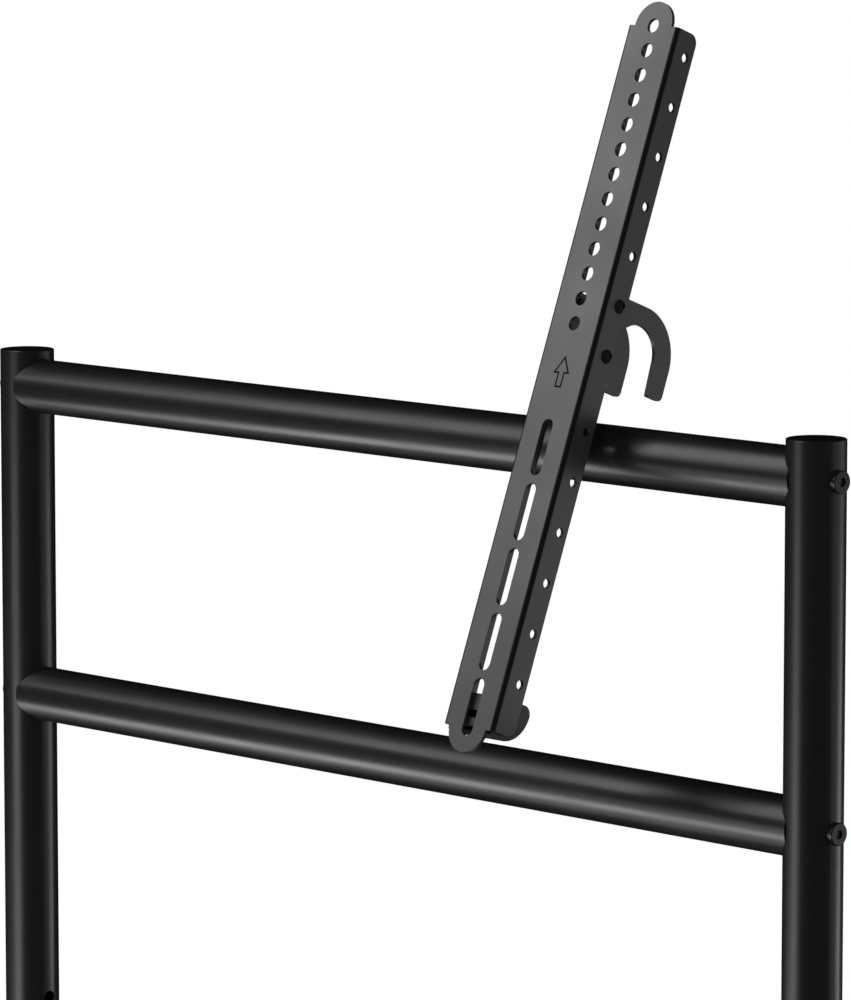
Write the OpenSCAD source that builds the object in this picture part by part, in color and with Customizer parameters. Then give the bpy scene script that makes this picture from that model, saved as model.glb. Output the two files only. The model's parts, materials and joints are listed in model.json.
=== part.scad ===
// Rolling display stand of round steel tube, with one hook-on display arm held above its bars.
// X runs along the bars, +Y points to the back of the stand, +Z is up.
// The origin lies on the floor, midway between the posts. All sizes are in millimetres.

/* [Frame] */
// Distance between the axes of the two posts
post_gap = 693.2; // [600:1:760]
// Height of the post tops above the floor
post_top = 1500; // [1250:5:1750]
// Outside diameter of every frame tube
tube_d = 35; // [32:0.5:38]
// Wall of every frame tube
tube_wall = 1.8; // [1.4:0.1:2.5]
// Distance from a post's axis to the blunted tips of a bar's saddle-cut end
bar_tip = 6.5; // [0:0.5:10]
// Depth of the top bar's axis below the post tops
top_bar_drop = 23.4; // [21:0.1:60]
// Distance between the axes of the two upper bars
bar_pitch = 201.6; // [185:0.2:230]
// Height of the base bar's axis above the axes of the feet
base_bar_rise = 110; // [60:5:300]
// Length of each foot from front to back, without its caps
foot_len = 600; // [480:5:700]
// Gap between a saddle-cut tube end and the tube it meets
cope_gap = 0.15; // [0.1:0.05:0.3]

/* [Tube caps] */
// Thickness of the flat head of a tube cap
cap_head_t = 1.5; // [1:0.1:3]
// Bevel round the head of a tube cap
cap_bevel = 0.5; // [0.2:0.1:0.9]
// Depth of the plug that a cap pushes into its tube
cap_plug_h = 12; // [8:1:16]
// Wall of the plug
cap_plug_wall = 1.6; // [1.2:0.1:2.5]
// Gap between a plug or an insert and the tube around it
plug_gap = 0.05; // [0.02:0.01:0.1]

/* [Frame bolts] */
// Thread diameter of the bar bolts
bolt_d = 8; // [6:1:10]
// Diameter of the low round heads
bolt_head_d = 13.4; // [11:0.1:15]
// Height of the low round heads
bolt_head_h = 1.9; // [1.8:0.1:5]
// Edge radius of the low round heads
bolt_head_round = 0.6; // [0.3:0.1:1.2]
// Key size of the hexagon sockets
bolt_key = 5; // [4:0.5:6]
// Depth of the hexagon sockets
bolt_key_depth = 1.6; // [1:0.1:1.7]
// Thickness of the saddle washers, from the post's outermost line to the head
saddle_t = 0.8; // [0.6:0.1:5]
// Play of a bolt in a plain hole, on the diameter
hole_play = 0.6; // [0.3:0.1:1]
// Play of a thread in its tapped hole, on the diameter
thread_play = 0.1; // [0.04:0.02:0.2]
// Length of the tapped inserts in the tube ends
insert_len = 12; // [8:1:20]
// Distance of an insert from the deepest point of the saddle cut
insert_inset = 3; // [2:0.5:8]
// Diameter of the spare hole for a shelf in the inner side of each post
shelf_hole_d = 8.6; // [6:0.2:10]

/* [Display arm] */
// Pitch of the round holes down the face, on which the whole arm is laid out
hole_pitch = 15.25; // [14.8:0.05:15.6]
// Number of round holes in the face
hole_count = 13; // [11:1:13]
// Diameter of the holes and width of the slots in the face
face_hole_d = 8.7; // [6:0.1:10]
// Number of long slots
slot_count = 5; // [3:1:5]
// Length of a long slot from end to end
slot_len = 34.4; // [28:0.2:36]
// Distance from one long slot to the next
slot_pitch = 39.2; // [38:0.1:40]
// Distance from the last round hole to the start of the first slot
slot_start = 58.1; // [52:0.1:60]
// Width of the folded channel
arm_w = 41; // [38:0.5:46]
// Depth of the folded channel from its face to the free edges of the flanges
arm_depth = 18.2; // [17.4:0.1:21]
// Thickness of the arm's sheet
arm_sheet = 2.3; // [1.6:0.1:2.5]
// Outside radius of the two folds
fold_round = 2.6; // [2.5:0.1:4]
// Radius of the flanges' free corners
flange_round = 6; // [3:0.5:8]
// Width of the rounded tongue at each end
tongue_w = 29.4; // [24:0.2:32]
// Diameter of the small holes in the flanges
flange_hole_d = 5.6; // [5.4:0.1:6.2]
// Distance of the small holes from the face
flange_hole_depth = 12.2; // [10.8:0.1:12.6]

/* [Hooks] */
// Thickness of a hook plate
hook_t = 2.5; // [2:0.1:3]
// Clearance between a hook and the bar, on the radius
hook_play = 0.4; // [0.3:0.05:0.8]
// Height of steel above the bar in a hook
hook_crown = 11.9; // [9:0.1:14]
// Width of the prong behind the bar
prong_w = 14; // [10:0.5:16]
// Distance of the prong's tip below the bar's axis
prong_drop = 19.4; // [18:0.2:22]
// Widening of the mouth at the prong's tip
mouth_flare = 1.2; // [0.6:0.1:2]
// Radius of the prong's outer corner
prong_round = 3.5; // [2:0.5:5]
// Thread diameter of the arm's screws
screw_d = 5; // [4:0.5:5]
// Diameter of the arm's screw heads
screw_head_d = 8.6; // [8:0.2:10]
// Height of the arm's screw heads
screw_head_h = 2.7; // [2:0.1:3.5]
// Width of the arm's nuts across their flats
nut_key = 8; // [7.5:0.5:9]
// Height of the arm's nuts
nut_h = 4; // [3:0.5:5]

/* [Heel] */
// Reach of the heel behind the free edges of the flanges
heel_reach = 10.7; // [8:0.1:11]
// Radius of the heel's round underside
heel_round = 19; // [18.6:0.1:22]
// Radius of the heel's upper corner
heel_corner = 6; // [5:0.5:7]
// Gap between the heel and the lower bar when the arm hangs on the bars
heel_gap = 0.6; // [0.5:0.1:2]
// Thickness of the heel's two cheeks
heel_cheek_t = 2.4; // [2:0.1:4]
// Thickness of the rib between the two hollows in the heel's front
heel_rib_t = 4.5; // [3:0.1:6]
// Height of the upper hollow in the heel's front
heel_hollow_h = 4.6; // [3:0.1:6]
// Gap between the heel and the sheet around it
heel_fit = 0.1; // [0.05:0.05:0.2]

/* [Arm lifted off] */
// Distance of the arm's middle from the middle of the bars
arm_x = 173.8; // [-250:0.1:250]
// Lean of the lifted arm, top backwards
arm_tilt = 20.75; // [12:0.01:26]
// Height of the hooks above their seat on the top bar
arm_lift = 58; // [40:1:80]

/* [Casters] */
// Diameter of the wheels
wheel_d = 75; // [65:1:80]
// Width of the tyres
tyre_w = 22; // [18:0.5:24]
// Thickness of the tyre's tread
tyre_t = 6.5; // [5:0.5:9]
// Edge radius of the tyres
tyre_round = 5; // [2:0.5:6]
// Distance of each caster's stem from the end of its foot
caster_inset = 70; // [65:1:110]
// Distance of the wheel axle behind the stem
caster_trail = 25; // [18:1:30]
// Radius of the wheel axle
axle_r = 5; // [4:0.5:6]
// Space between the fork's two cheeks
fork_space = 28; // [26:0.5:32]
// Thickness of the fork's metal
fork_t = 3; // [2:0.1:4]
// Height of the free space above the wheel inside the fork
fork_head_room = 14; // [13:0.5:18]
// Height of the swivel race on top of the fork
race_h = 6; // [4:0.5:10]
// Thickness of the stem's collar
collar_t = 3.7; // [3:0.1:6]
// Radius of the threaded stem
stem_r = 6; // [5:0.5:7]
// Wall of the socket that takes the stem
socket_wall = 4; // [3:0.5:5]
// Drop of the socket below the underside of its foot
socket_drop = 4; // [2:0.5:8]
// Running gap of the turning pieces along their axes
run_gap = 0.3; // [0.25:0.05:0.4]
// Running gap of a pin in its bore, on the radius
pin_gap = 0.05; // [0.03:0.01:0.09]
// Length of the brake pedal behind its pin
pedal_len = 46; // [36:1:52]

/* [Hidden] */
$fn = 64;

satin_black = [0.09, 0.09, 0.10];
arm_black = [0.16, 0.16, 0.17];
bolt_black = [0.05, 0.05, 0.05];
rubber_black = [0.07, 0.07, 0.07];
plastic_black = [0.12, 0.12, 0.12];
zinc = [0.62, 0.63, 0.65];

// Extra length that carries a cut past the surface it opens
over = 1;
tube_r = tube_d / 2;
tube_bore_d = tube_d - 2 * tube_wall;
cope_r = tube_r + cope_gap;

// Heights of the casters, feet and bars above the floor
wheel_r = wheel_d / 2;
fork_under_z = wheel_d + fork_head_room;
fork_top_z = fork_under_z + fork_t;
race_top_z = fork_top_z + race_h;
socket_z = race_top_z + run_gap + collar_t;
foot_z = socket_z + socket_drop + tube_r;
top_bar_z = post_top - top_bar_drop;
lower_bar_z = top_bar_z - bar_pitch;
shelf_z = lower_bar_z - bar_pitch;
base_bar_z = foot_z + base_bar_rise;
bar_heights = [top_bar_z, lower_bar_z, base_bar_z];
post_tube_top = post_top - cap_head_t;
foot_bolt_d = bolt_d + 2;
foot_head_d = bolt_head_d + 3;

// Sizes of the casters
caster_y = foot_len / 2 - caster_inset;
hub_r = wheel_r - tyre_t;
hub_boss_r = axle_r + 5;
hub_web_t = 6;
hub_rim_t = 4;
cheek_x = fork_space / 2;
axle_head_r = axle_r + 3;
axle_head_h = 3;
axle_eye_margin = 7;
axle_eye_r = axle_r + axle_eye_margin;
race_r = stem_r + 10;
king_r = stem_r - 1;
king_head_r = king_r + 3;
king_head_h = 2.5;
collar_r = stem_r + 7;
plate_r = race_r + 3;
plate_tail_r = cheek_x + fork_t;
pedal_pin_r = 2.5;
pedal_pin_back = 12;
pedal_pin_y = caster_trail + pedal_pin_back;
plate_front_trim = 2;
cheek_front_h = 12;
pedal_lug_h = 6;
pedal_boss_r = 5.5;
pedal_pin_z = fork_under_z - pedal_boss_r - 1.5;
pedal_t = 5;
pedal_nose = [5.2, -8];
pedal_nose_r = 1.4;
pedal_nose_w = 2.4;
toe_r = 3.5;
toe_sink = 4;
eye_margin = 4.5;

// Layout of the arm in its own frame: the bar's axis lies at the origin when the arm hangs on it.
// There z runs up the arm and y from its face to the back.
hook_r = tube_r + hook_play;
face_y = -(arm_depth + hook_r);
rear_y = face_y + arm_depth;
hook_station = 12.5 * hole_pitch;
channel_len = 28 * hole_pitch;
channel_start = 0.2;
channel_top_z = hook_station - channel_start;
channel_bottom_z = channel_top_z - channel_len;
tongue_r = tongue_w / 2;
tongue_len = tongue_r + 0.3;
slots_top_z = hook_station - (hole_count - 1) * hole_pitch - slot_start;
flange_stations = [1, 3, 5, 7, 9, 11, 13, 16, 18, 20, 22, 24, 26];
screw_stations = [11, 13];
hole_y = face_y + flange_hole_depth;
inner_x = arm_w / 2 - arm_sheet;

// Hook plate, drawn in the plane of the flange
crown_r = (hook_r + hook_crown + hook_r + prong_w) / 2;
crown_z = hook_r + hook_crown - crown_r;
crown_y = hook_r + prong_w - crown_r;
plate_front_y = face_y + fold_round + 0.4;
prong_inner_round = 1.2;
nut_clear = 0.1;

// Heel, placed round the underside of the lower bar where the arm hangs seated
heel_corner_y = rear_y + heel_reach - heel_corner;
heel_corner_reach = tube_r + heel_gap + heel_corner;
heel_corner_z = -bar_pitch - sqrt(pow(heel_corner_reach, 2) - pow(heel_corner_y, 2));
heel_top_z = heel_corner_z + heel_corner;
heel_y = rear_y + heel_reach - heel_round;
heel_z = heel_top_z - 5.2;
heel_front_y = face_y + fold_round + 0.3;
heel_shoulder_t = 9.8;
heel_hollow_z = heel_top_z - heel_shoulder_t - heel_hollow_h;
heel_rib_z = heel_hollow_z - heel_rib_t;
heel_wall = 3;

// The seated arm swings to its lifted place about a line far behind the top bar
pole_y = arm_lift / sin(arm_tilt);

module ring2d(outer_d, inner_d) {
    difference() {
        circle(d = outer_d);
        circle(d = inner_d);
    }
}

// A straight strip of width w from point a to point b
module strip2d(a, b, w) {
    translate(a)
        rotate(atan2(b[1] - a[1], b[0] - a[0]))
            translate([0, -w / 2]) square([norm(b - a), w]);
}

// The sliver outside a round corner; turn says which way the corner points
module corner_cut2d(r, turn) {
    rotate(turn)
        difference() {
            translate([-r, -r]) square(r + over);
            translate([-r, -r]) circle(r = r);
        }
}

// Draws a child, laid out as a y-z outline, as a plate of thickness t that starts at x
module side_plate(x, t) {
    translate([x, 0, 0])
        rotate([90, 0, 90])
            linear_extrude(t) children();
}

module along_x() {
    rotate([0, 90, 0]) children();
}

module along_y() {
    rotate([-90, 0, 0]) children();
}

module at_left() {
    translate([-post_gap / 2, 0, 0]) children();
}

module at_right() {
    translate([post_gap / 2, 0, 0]) mirror([1, 0, 0]) children();
}

// Straight tube up its own axis, from 0 to len
module tube(len) {
    linear_extrude(len) ring2d(tube_d, tube_bore_d);
}

// The left post; its inner side faces +X
module post() {
    color(satin_black)
        difference() {
            translate([0, 0, foot_z]) tube(post_tube_top - foot_z);
            translate([0, 0, foot_z])
                along_y() cylinder(r = cope_r, h = 2 * tube_d, center = true);
            for (z = bar_heights)
                translate([0, 0, z])
                    along_x() cylinder(d = bolt_d + hole_play, h = tube_d + 2 * over, center = true);
            translate([0, 0, shelf_z])
                along_x() cylinder(d = shelf_hole_d, h = tube_r + over);
        }
}

// Flat cap with a bevelled head and a hollow plug, head upwards, its seat at height 0
module tube_cap() {
    plug_d = tube_bore_d - 2 * plug_gap;
    color(satin_black)
        rotate_extrude() difference() {
            union() {
                polygon([
                    [0, 0], [tube_r, 0], [tube_r, cap_head_t - cap_bevel],
                    [tube_r - cap_bevel, cap_head_t], [0, cap_head_t]
                ]);
                translate([0, -cap_plug_h]) square([plug_d / 2, cap_plug_h + cap_head_t / 2]);
            }
            translate([-over, -cap_plug_h - over])
                square([plug_d / 2 - cap_plug_wall + over, cap_plug_h + over]);
        }
}

module post_cap() {
    translate([0, 0, post_tube_top]) tube_cap();
}

// Bar between the posts, each end saddle-cut to its post with the sharp tips blunted
module bar(z) {
    color(satin_black)
        difference() {
            translate([bar_tip - post_gap / 2, 0, z]) along_x() tube(post_gap - 2 * bar_tip);
            for (s = [-1, 1])
                translate([s * post_gap / 2, 0, z])
                    cylinder(r = cope_r, h = 2 * tube_d, center = true);
        }
}

// Tapped plug up its own axis
module insert(d) {
    color(zinc)
        linear_extrude(insert_len)
            ring2d(tube_bore_d - 2 * plug_gap, d + thread_play);
}

// Low round head with a hexagon socket; the seat is at 0 and the shank runs to -len
module socket_bolt(d, head_d, len) {
    color(bolt_black)
        difference() {
            union() {
                translate([0, 0, -len]) cylinder(d = d, h = len + over);
                rotate_extrude() {
                    square([head_d / 2 - bolt_head_round, bolt_head_h]);
                    square([head_d / 2, bolt_head_h - bolt_head_round]);
                    intersection() {
                        translate([head_d / 2 - bolt_head_round, bolt_head_h - bolt_head_round])
                            circle(r = bolt_head_round);
                        square([head_d / 2, bolt_head_h]);
                    }
                }
            }
            translate([0, 0, bolt_head_h - bolt_key_depth])
                rotate(30) cylinder(d = bolt_key / cos(30), h = bolt_key_depth + over, $fn = 6);
        }
}

// Washer whose underside is hollowed to sit on a round tube lying along the child's X
module saddle_washer(d, head_d) {
    color(bolt_black)
        difference() {
            translate([0, 0, -saddle_sink(head_d)])
                linear_extrude(saddle_sink(head_d) + saddle_t) ring2d(head_d, d + hole_play);
            translate([0, 0, -tube_r])
                along_x() cylinder(r = tube_r + plug_gap, h = 2 * head_d, center = true);
        }
}

// How far a washer of this width reaches down round the tube
function saddle_sink(head_d) = tube_r - sqrt(pow(tube_r, 2) - pow(head_d / 2, 2));

// Places a child, drawn upwards from a tube's surface, on the outer side of both posts at each bar
module on_post_sides() {
    for (z = bar_heights, s = [-1, 1])
        translate([s * (post_gap / 2 + tube_r), 0, z])
            rotate([0, s * 90, 0]) children();
}

module bar_inserts() {
    for (z = bar_heights, s = [-1, 1])
        translate([s * (post_gap / 2 - cope_r - insert_inset), 0, z])
            rotate([0, -s * 90, 0]) insert(bolt_d);
}

module bar_bolts() {
    reach = saddle_t + 2 * tube_r + cope_gap + insert_inset + insert_len;
    on_post_sides() translate([0, 0, saddle_t]) socket_bolt(bolt_d, bolt_head_d, reach);
}

module saddle_washers() {
    on_post_sides() saddle_washer(bolt_d, bolt_head_d);
}

// Foot tube from front to back, with holes for the post's bolt and the two caster sockets
module foot() {
    color(satin_black)
        translate([0, 0, foot_z])
            difference() {
                translate([0, -foot_len / 2, 0]) along_y() tube(foot_len);
                cylinder(d = foot_bolt_d + hole_play, h = tube_d + 2 * over, center = true);
                for (s = [-1, 1])
                    translate([0, s * caster_y, -tube_d])
                        cylinder(r = stem_r + socket_wall + plug_gap, h = tube_d);
            }
}

module foot_caps() {
    for (x = [-1, 1], y = [-1, 1])
        translate([x * post_gap / 2, y * foot_len / 2, foot_z])
            rotate([-y * 90, 0, 0]) tube_cap();
}

// Tapped sleeve welded through the underside of a foot for a caster's stem
module caster_sockets() {
    r = stem_r + socket_wall;
    h = socket_drop + tube_r + sqrt(pow(tube_bore_d / 2, 2) - r * r) - 1;
    color(satin_black)
        for (x = [-1, 1], y = [-1, 1])
            translate([x * post_gap / 2, y * caster_y, socket_z])
                linear_extrude(h)
                    ring2d(2 * r, 2 * stem_r + thread_play);
}

module post_inserts() {
    for (s = [-1, 1])
        translate([s * post_gap / 2, 0, foot_z + cope_r + insert_inset])
            insert(foot_bolt_d);
}

// Places a child, drawn upwards from a tube's surface, under the middle of both feet
module under_feet() {
    for (s = [-1, 1])
        translate([s * post_gap / 2, 0, foot_z - tube_r])
            rotate([180, 0, 0]) rotate(90) children();
}

module foot_bolts() {
    reach = saddle_t + 2 * tube_r + cope_gap + insert_inset + insert_len;
    under_feet() translate([0, 0, saddle_t]) socket_bolt(foot_bolt_d, foot_head_d, reach);
}

module foot_washers() {
    under_feet() saddle_washer(foot_bolt_d, foot_head_d);
}

// Moves the arm's frame from the bars to the place where it is held, leaning over the top bar
module lifted_arm() {
    translate([arm_x, pole_y, top_bar_z])
        rotate([-arm_tilt, 0, 0])
            translate([0, -pole_y, 0]) children();
}

// Cross-section of the channel, x across and y from the face to the free edges
module channel_shell2d(w, depth, r) {
    translate([-w / 2 + r, 0]) square([w - 2 * r, depth]);
    translate([-w / 2, r]) square([w, depth - r]);
    for (s = [-1, 1])
        translate([s * (w / 2 - r), r]) circle(r = r);
}

module channel_section2d() {
    difference() {
        channel_shell2d(arm_w, arm_depth, fold_round);
        translate([0, arm_sheet])
            channel_shell2d(arm_w - 2 * arm_sheet, arm_depth, fold_round - arm_sheet);
    }
}

// Side view of the channel, y and z, with the flanges' free corners rounded
module channel_side2d() {
    difference() {
        translate([face_y, channel_bottom_z]) square([arm_depth, channel_len]);
        translate([rear_y, channel_top_z]) corner_cut2d(flange_round, 0);
        translate([rear_y, channel_bottom_z]) corner_cut2d(flange_round, -90);
    }
}

// One row of screw-sized holes through both flanges
module flange_holes(stations, d) {
    for (n = stations)
        translate([0, hole_y, hook_station - n * hole_pitch])
            along_x() cylinder(d = d, h = arm_w + 2 * over, center = true);
}

module slot2d(len, d) {
    square([d, len - d], center = true);
    for (s = [-1, 1])
        translate([0, s * (len - d) / 2]) circle(d = d);
}

// Holes and slots of the face, x and z
module face_cuts2d() {
    for (i = [0 : hole_count - 1])
        translate([0, hook_station - i * hole_pitch]) circle(d = face_hole_d);
    for (i = [0 : slot_count - 1])
        translate([0, slots_top_z - slot_len / 2 - i * slot_pitch]) slot2d(slot_len, face_hole_d);
}

// Outline of the two tongues and the strip of face between them, x and z
module tongues2d() {
    for (z = [channel_top_z + tongue_len - tongue_r, channel_bottom_z - tongue_len + tongue_r])
        translate([0, z]) circle(r = tongue_r);
    translate([-tongue_r, channel_bottom_z - tongue_len + tongue_r])
        square([tongue_w, channel_len + 2 * (tongue_len - tongue_r)]);
}

// Channel folded from one sheet: face with holes, slots and tongues, and two flanges
module arm_channel() {
    color(arm_black)
        lifted_arm() difference() {
            union() {
                intersection() {
                    translate([0, face_y, channel_bottom_z])
                        linear_extrude(channel_len) channel_section2d();
                    side_plate(-arm_w, 2 * arm_w) channel_side2d();
                }
                translate([0, face_y + arm_sheet, 0])
                    rotate([90, 0, 0]) linear_extrude(arm_sheet) tongues2d();
            }
            translate([0, face_y + arm_sheet + over, 0])
                rotate([90, 0, 0]) linear_extrude(arm_sheet + 2 * over) face_cuts2d();
            flange_holes(flange_stations, flange_hole_d);
        }
}

// Outline of a hook plate, y and z: a strip inside the flange, a crown over the bar and a prong
module hook2d() {
    outer_y = hook_r + prong_w;
    difference() {
        union() {
            translate([crown_y, crown_z]) circle(r = crown_r);
            translate([plate_front_y, -prong_drop])
                square([crown_y - plate_front_y, prong_drop + crown_z + crown_r]);
            translate([0, -prong_drop]) square([outer_y, prong_drop + crown_z]);
        }
        circle(r = hook_r);
        polygon([
            [rear_y, 0], [hook_r, 0],
            [hook_r + mouth_flare * (prong_drop + over) / prong_drop, -prong_drop - over],
            [rear_y, -prong_drop - over]
        ]);
        translate([plate_front_y - over, -prong_drop - 2 * crown_r])
            square([4 * crown_r, 2 * crown_r]);
        translate([outer_y, -prong_drop]) corner_cut2d(prong_round, -90);
        translate([hook_r + mouth_flare, -prong_drop]) corner_cut2d(prong_inner_round, 180);
        translate([plate_front_y, -prong_drop]) corner_cut2d(prong_round, 180);
        translate([plate_front_y, crown_z + crown_r]) corner_cut2d(prong_round, 90);
    }
}

// One hook plate against the inside of a flange; side is -1 for left and 1 for right
module hook(side) {
    x = side > 0 ? inner_x - hook_t : -inner_x;
    color(arm_black)
        lifted_arm() difference() {
            side_plate(x, hook_t) hook2d();
            flange_holes(screw_stations, screw_d + thread_play);
        }
}

// Places a child on the outer side of a flange at each screw, pointing outwards
module at_screws() {
    lifted_arm()
        for (s = [-1, 1], n = screw_stations)
            translate([s * arm_w / 2, hole_y, hook_station - n * hole_pitch])
                rotate([0, s * 90, 0]) children();
}

module hook_screws() {
    reach = arm_sheet + hook_t + nut_clear + nut_h + 1.5;
    dome_r = (pow(screw_head_d / 2, 2) + pow(screw_head_h, 2)) / (2 * screw_head_h);
    color(bolt_black)
        at_screws() difference() {
            union() {
                translate([0, 0, -reach]) cylinder(d = screw_d, h = reach + over);
                intersection() {
                    translate([0, 0, screw_head_h - dome_r]) sphere(r = dome_r);
                    cylinder(d = screw_head_d + over, h = screw_head_h + over);
                }
            }
            translate([0, 0, screw_head_h / 2])
                rotate(30) cylinder(d = 3 / cos(30), h = screw_head_h, $fn = 6);
        }
}

module hook_nuts() {
    color(bolt_black)
        at_screws() translate([0, 0, -(arm_sheet + hook_t + nut_clear + nut_h)])
            difference() {
                rotate(30) cylinder(d = nut_key / cos(30), h = nut_h, $fn = 6);
                translate([0, 0, -over]) cylinder(d = screw_d + thread_play, h = nut_h + 2 * over);
            }
}

// Outline of the heel, y and z: flat shoulder under the bar, round underside
module heel2d() {
    intersection() {
        union() {
            translate([heel_y, heel_z]) circle(r = heel_round);
            translate([heel_front_y, heel_z]) square([rear_y - heel_front_y, heel_top_z - heel_z]);
        }
        difference() {
            translate([heel_front_y, heel_z - heel_round])
                square([heel_y + heel_round - heel_front_y, heel_top_z - heel_z + heel_round]);
            translate([rear_y + heel_reach, heel_top_z]) corner_cut2d(heel_corner, 0);
        }
    }
}

// Space of the two hollows, y and z, inside the rear wall and open to the front and below
module heel_hollows2d() {
    difference() {
        intersection() {
            union() {
                translate([heel_y, heel_z]) circle(r = heel_round - heel_wall);
                translate([heel_front_y - over, heel_z - heel_round - over])
                    square([heel_y - heel_front_y + over, 2 * heel_round]);
            }
            translate([heel_front_y - over, heel_z - heel_round - over])
                square([2 * heel_round, heel_hollow_z + heel_hollow_h - heel_z + heel_round + over]);
        }
        translate([heel_front_y - 2 * over, heel_rib_z])
            square([2 * heel_round + 2 * over, heel_rib_t]);
    }
}

// Moulded heel between the flanges: two cheeks, with a thick shoulder and a rib between them
module arm_heel() {
    w = 2 * (inner_x - heel_fit);
    hollow_w = w - 2 * heel_cheek_t;
    color(plastic_black)
        lifted_arm() difference() {
            side_plate(-w / 2, w) heel2d();
            side_plate(-hollow_w / 2, hollow_w) heel_hollows2d();
        }
}

// Places a caster, drawn with its stem at the origin and its wheel towards +Y, trailing outwards
module at_caster(x, y) {
    translate([x * post_gap / 2, y * caster_y, 0])
        rotate(y > 0 ? 0 : 180) children();
}

// Threaded stem with a collar, and the kingpin that carries the fork
module caster_stem() {
    stem_len = socket_drop + 2 * tube_r - tube_wall - 4;
    color(zinc) {
        translate([0, 0, socket_z - over]) cylinder(r = stem_r, h = stem_len + over);
        translate([0, 0, socket_z - collar_t]) cylinder(r = collar_r, h = collar_t);
        translate([0, 0, fork_under_z - run_gap - king_head_h])
            cylinder(r = king_r, h = socket_z - fork_under_z + run_gap + king_head_h - over);
        translate([0, 0, fork_under_z - run_gap - king_head_h])
            cylinder(r = king_head_r, h = king_head_h);
    }
}

// Side view of one fork cheek, y and z
module fork_cheek2d() {
    top = fork_under_z + fork_t;
    difference() {
        union() {
            translate([caster_trail, wheel_r]) circle(r = axle_eye_r);
            polygon([
                [plate_front_trim - plate_r, top], [plate_front_trim - plate_r, top - cheek_front_h],
                [caster_trail - axle_eye_r, wheel_r], [caster_trail + axle_eye_r, wheel_r],
                [pedal_pin_y + eye_margin, pedal_pin_z - pedal_lug_h], [pedal_pin_y + eye_margin, top]
            ]);
        }
        translate([caster_trail, wheel_r]) circle(r = axle_r + plug_gap);
        translate([pedal_pin_y, pedal_pin_z]) circle(r = pedal_pin_r + plug_gap);
    }
}

// Pressed fork: top plate with a swivel race, and two cheeks
module caster_fork() {
    color(zinc)
        difference() {
            union() {
                translate([0, 0, fork_under_z]) linear_extrude(fork_t) {
                    circle(r = plate_r);
                    translate([-plate_tail_r, plate_front_trim - plate_r])
                        square([2 * plate_tail_r, plate_r - plate_front_trim + pedal_pin_y + eye_margin]);
                }
                translate([0, 0, fork_under_z]) cylinder(r = race_r, h = fork_t + race_h);
                for (x = [-cheek_x - fork_t, cheek_x])
                    side_plate(x, fork_t) fork_cheek2d();
            }
            translate([0, 0, fork_under_z - over])
                cylinder(r = king_r + pin_gap, h = fork_t + race_h + 2 * over);
        }
}

// Riveted wheel axle across the fork
module caster_axle() {
    half = cheek_x + fork_t;
    color(zinc)
        translate([0, caster_trail, wheel_r]) along_x() {
            cylinder(r = axle_r, h = 2 * half + 2, center = true);
            for (s = [-1, 1])
                translate([0, 0, s * (half + plug_gap + axle_head_h / 2)])
                    cylinder(r = axle_head_r, h = axle_head_h, center = true);
        }
}

// Moulded wheel centre: rim, thin web and long boss, turned about the axle
module caster_hub() {
    boss_w = fork_space - 2 * run_gap;
    color(plastic_black)
        translate([0, caster_trail, wheel_r]) along_x()
            rotate_extrude() {
                translate([axle_r + pin_gap, -boss_w / 2])
                    square([hub_boss_r - axle_r - pin_gap, boss_w]);
                translate([hub_boss_r - over, -hub_web_t / 2])
                    square([hub_r - plug_gap - hub_boss_r + over, hub_web_t]);
                translate([hub_r - plug_gap - hub_rim_t, -tyre_w / 2])
                    square([hub_rim_t, tyre_w]);
            }
}

// Rubber tyre with rounded shoulders
module caster_tyre() {
    color(rubber_black)
        translate([0, caster_trail, wheel_r]) along_x()
            rotate_extrude() {
                translate([hub_r, -tyre_w / 2]) square([tyre_t - tyre_round, tyre_w]);
                translate([hub_r, -tyre_w / 2 + tyre_round])
                    square([tyre_t, tyre_w - 2 * tyre_round]);
                for (s = [-1, 1])
                    intersection() {
                        translate([wheel_r - tyre_round, s * (tyre_w / 2 - tyre_round)])
                            circle(r = tyre_round);
                        translate([hub_r, -tyre_w / 2]) square([tyre_t, tyre_w]);
                    }
            }
}

// Brake pedal: eye on its pin, nose over the tyre, arm and toe
module caster_pedal() {
    w = fork_space - 2 * run_gap;
    toe = [pedal_len, -toe_sink];
    color(plastic_black)
        translate([0, pedal_pin_y, pedal_pin_z])
            side_plate(-w / 2, w)
                difference() {
                    union() {
                        circle(r = pedal_boss_r);
                        strip2d([0, 0], pedal_nose, pedal_nose_w);
                        translate(pedal_nose) circle(r = pedal_nose_r);
                        strip2d([0, 1], toe, pedal_t);
                        translate(toe) circle(r = toe_r);
                    }
                    circle(r = pedal_pin_r + pin_gap);
                }
}

module caster_pedal_pin() {
    color(zinc)
        translate([0, pedal_pin_y, pedal_pin_z])
            along_x() cylinder(r = pedal_pin_r, h = 2 * (cheek_x + fork_t) + 1, center = true);
}

at_left() post();  // left_post
at_right() post();  // right_post
at_left() post_cap();  // left_post_cap
at_right() post_cap();  // right_post_cap
bar(top_bar_z);  // top_bar
bar(lower_bar_z);  // lower_bar
bar(base_bar_z);  // base_bar
bar_inserts();
bar_bolts();
saddle_washers();
at_left() foot();  // left_foot
at_right() foot();  // right_foot
foot_caps();
caster_sockets();
post_inserts();
foot_bolts();
foot_washers();
arm_channel();
hook(-1);  // left_hook
hook(1);  // right_hook
hook_screws();
hook_nuts();
arm_heel();
at_caster(-1, -1) caster_stem();  // front_left_stem
at_caster(-1, -1) caster_fork();  // front_left_fork
at_caster(-1, -1) caster_axle();  // front_left_axle
at_caster(-1, -1) caster_hub();  // front_left_hub
at_caster(-1, -1) caster_tyre();  // front_left_tyre
at_caster(-1, -1) caster_pedal();  // front_left_pedal
at_caster(-1, -1) caster_pedal_pin();  // front_left_pedal_pin
at_caster(1, -1) caster_stem();  // front_right_stem
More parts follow.
